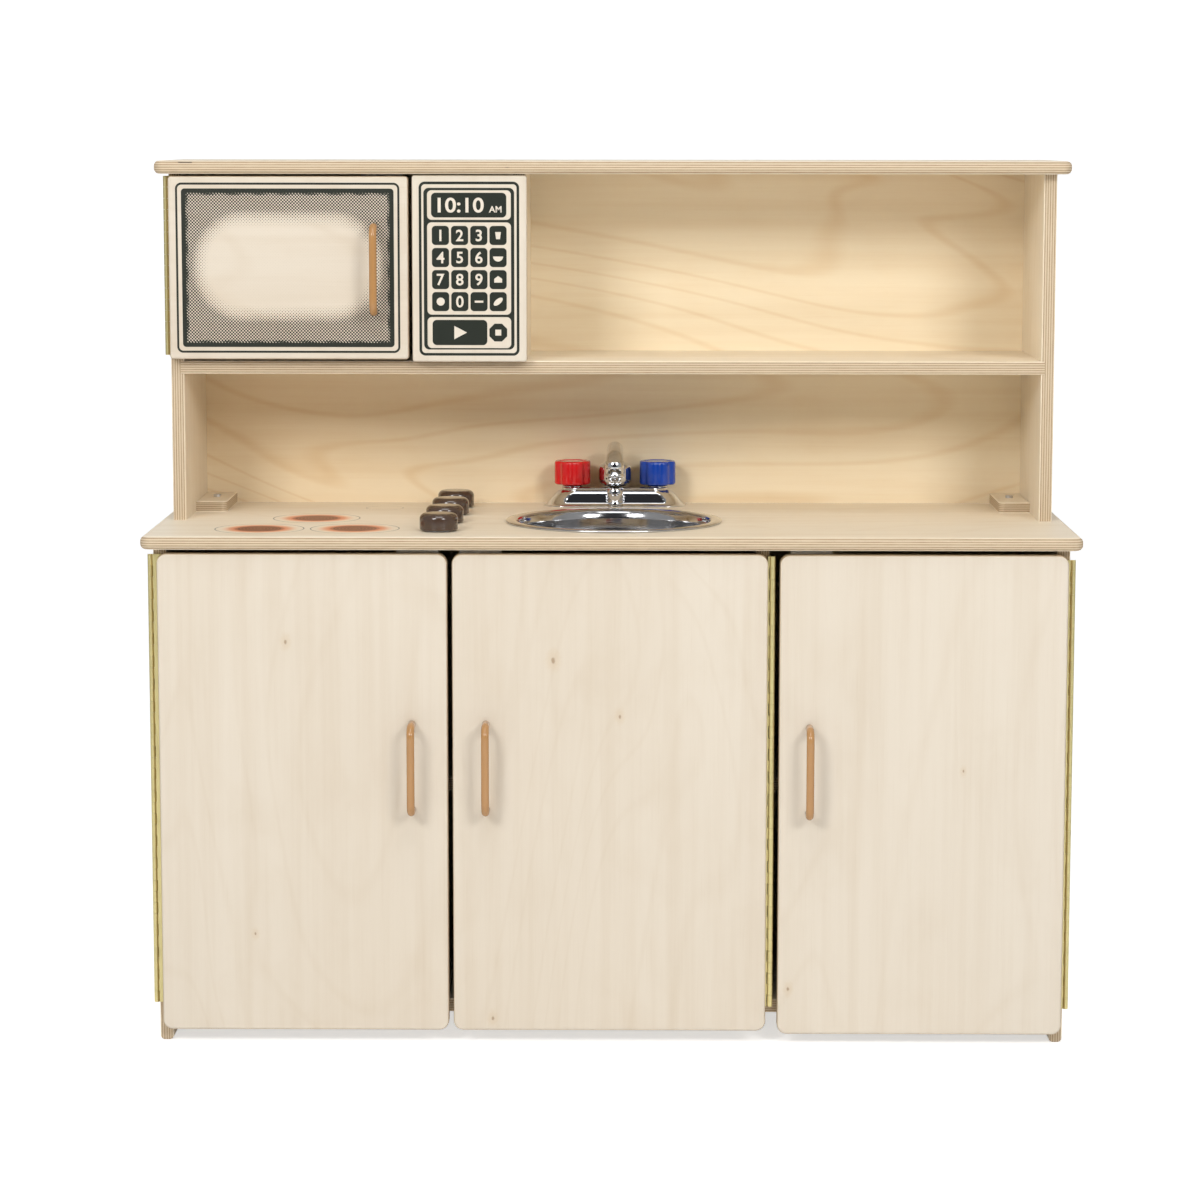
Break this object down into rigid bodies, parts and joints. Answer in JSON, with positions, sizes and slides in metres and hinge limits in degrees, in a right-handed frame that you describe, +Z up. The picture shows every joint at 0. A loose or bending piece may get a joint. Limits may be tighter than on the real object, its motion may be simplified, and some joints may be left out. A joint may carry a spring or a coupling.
{
  "type": "toy kitchen",
  "caption": "Free-standing wooden play kitchen: cabinet with hinged doors, sink and tap, hob knobs, and a hutch with shelf and toy microwave.",
  "frame": {"origin": "on the floor, under the middle of the bounding box", "axes": "+Z up, +X to the right seen from the front, the front faces -Y"},
  "size_m": [1.04, 0.405, 0.984],
  "materials": {
    "birch_ply": "clear satin lacquer on birch plywood",
    "back_ply": "clear satin lacquer on thin birch plywood",
    "tan_handle": "glossy tan coating",
    "brass": "brass plate",
    "zinc_steel": "zinc plate",
    "white_plastic": "moulded",
    "stainless_steel": "polished stainless steel",
    "chrome": "chrome plate",
    "red_plastic": "glossy",
    "blue_plastic": "glossy",
    "brown_plastic": "glossy"
  },
  "bodies": {
    "cabinet": {"base_side_left": "birch_ply", "base_side_right": "birch_ply", "base_divider": "birch_ply", "base_bottom": "birch_ply", "base_back": "back_ply", "base_shelf_left": "birch_ply", "base_shelf_right": "birch_ply", "worktop": "birch_ply", "hutch_side_left": "birch_ply", "hutch_side_right": "birch_ply", "hutch_shelf": "birch_ply", "hutch_top": "birch_ply", "hutch_back": "back_ply", "microwave_partition": "birch_ply", "keypad_panel": "birch_ply", "cleat_left": "birch_ply", "cleat_right": "birch_ply", "cleat_screws": "zinc_steel", "hinge_fixed_leaf_left": "brass", "hinge_fixed_leaf_middle": "brass", "hinge_fixed_leaf_right": "brass", "hinge_fixed_leaf_microwave": "brass", "hinge_fixed_screws": "brass", "hinge_pins": "brass", "door_catches": "white_plastic", "sink_bowl": "stainless_steel", "tap_body": "chrome", "tap_lock_nuts": "zinc_steel", "hob_pivots": "zinc_steel"},
    "door_left": {"door_left": "birch_ply", "handle_left": "tan_handle", "handle_screws_left": "zinc_steel", "hinge_door_leaf_left": "brass", "hinge_door_screws_left": "brass", "strike_plate_left": "zinc_steel"},
    "door_middle": {"door_middle": "birch_ply", "handle_middle": "tan_handle", "handle_screws_middle": "zinc_steel", "hinge_door_leaf_middle": "brass", "hinge_door_screws_middle": "brass", "strike_plate_middle": "zinc_steel"},
    "door_right": {"door_right": "birch_ply", "handle_right": "tan_handle", "handle_screws_right": "zinc_steel", "hinge_door_leaf_right": "brass", "hinge_door_screws_right": "brass", "strike_plate_right": "zinc_steel"},
    "door_microwave": {"door_microwave": "birch_ply", "handle_microwave": "tan_handle", "handle_screws_microwave": "zinc_steel", "hinge_door_leaf_microwave": "brass", "hinge_door_screws_microwave": "brass", "strike_plate_microwave": "zinc_steel"},
    "spout": {"tap_spout": "chrome"},
    "tap_knob_hot": {"tap_knob_hot": "red_plastic"},
    "tap_knob_cold": {"tap_knob_cold": "blue_plastic"},
    "hob_knob_1": {"hob_knob_1": "brown_plastic"},
    "hob_knob_2": {"hob_knob_2": "brown_plastic"},
    "hob_knob_3": {"hob_knob_3": "brown_plastic"},
    "hob_knob_4": {"hob_knob_4": "brown_plastic"}
  },
  "joints": [
    {"name": "left_door_hinge", "type": "hinge", "parent": "cabinet", "child": "door_left", "pos_m": [-0.5111, -0.1535, 0.298], "axis": [0, 0, -1], "range_deg": [0, 200]},
    {"name": "middle_door_hinge", "type": "hinge", "parent": "cabinet", "child": "door_middle", "pos_m": [0.1784, -0.1665, 0.298], "axis": [0, 0, 1], "range_deg": [0, 128]},
    {"name": "right_door_hinge", "type": "hinge", "parent": "cabinet", "child": "door_right", "pos_m": [0.5111, -0.1535, 0.293], "axis": [0, 0, 1], "range_deg": [0, 200]},
    {"name": "microwave_door_hinge", "type": "hinge", "parent": "cabinet", "child": "door_microwave", "pos_m": [-0.5071, -0.007, 0.865], "axis": [0, 0, -1], "range_deg": [0, 195]},
    {"name": "spout_swivel", "type": "hinge", "parent": "cabinet", "child": "spout", "pos_m": [0.0025, 0.1675, 0.6], "axis": [0, 0, 1], "range_deg": [-95, 95]},
    {"name": "hot_tap_turn", "type": "hinge", "parent": "cabinet", "child": "tap_knob_hot", "pos_m": [-0.0483, 0.1675, 0.61], "axis": [0, 0, 1], "range_deg": [0, 360]},
    {"name": "cold_tap_turn", "type": "hinge", "parent": "cabinet", "child": "tap_knob_cold", "pos_m": [0.0533, 0.1675, 0.61], "axis": [0, 0, 1], "range_deg": [0, 360]},
    {"name": "hob_knob_1_turn", "type": "hinge", "parent": "cabinet", "child": "hob_knob_1", "pos_m": [-0.193, -0.1145, 0.58], "axis": [0, 0, 1], "continuous": true},
    {"name": "hob_knob_2_turn", "type": "hinge", "parent": "cabinet", "child": "hob_knob_2", "pos_m": [-0.1908, -0.0285, 0.58], "axis": [0, 0, 1], "continuous": true},
    {"name": "hob_knob_3_turn", "type": "hinge", "parent": "cabinet", "child": "hob_knob_3", "pos_m": [-0.1886, 0.0575, 0.58], "axis": [0, 0, 1], "continuous": true},
    {"name": "hob_knob_4_turn", "type": "hinge", "parent": "cabinet", "child": "hob_knob_4", "pos_m": [-0.1864, 0.1435, 0.58], "axis": [0, 0, 1], "continuous": true}
  ]
}
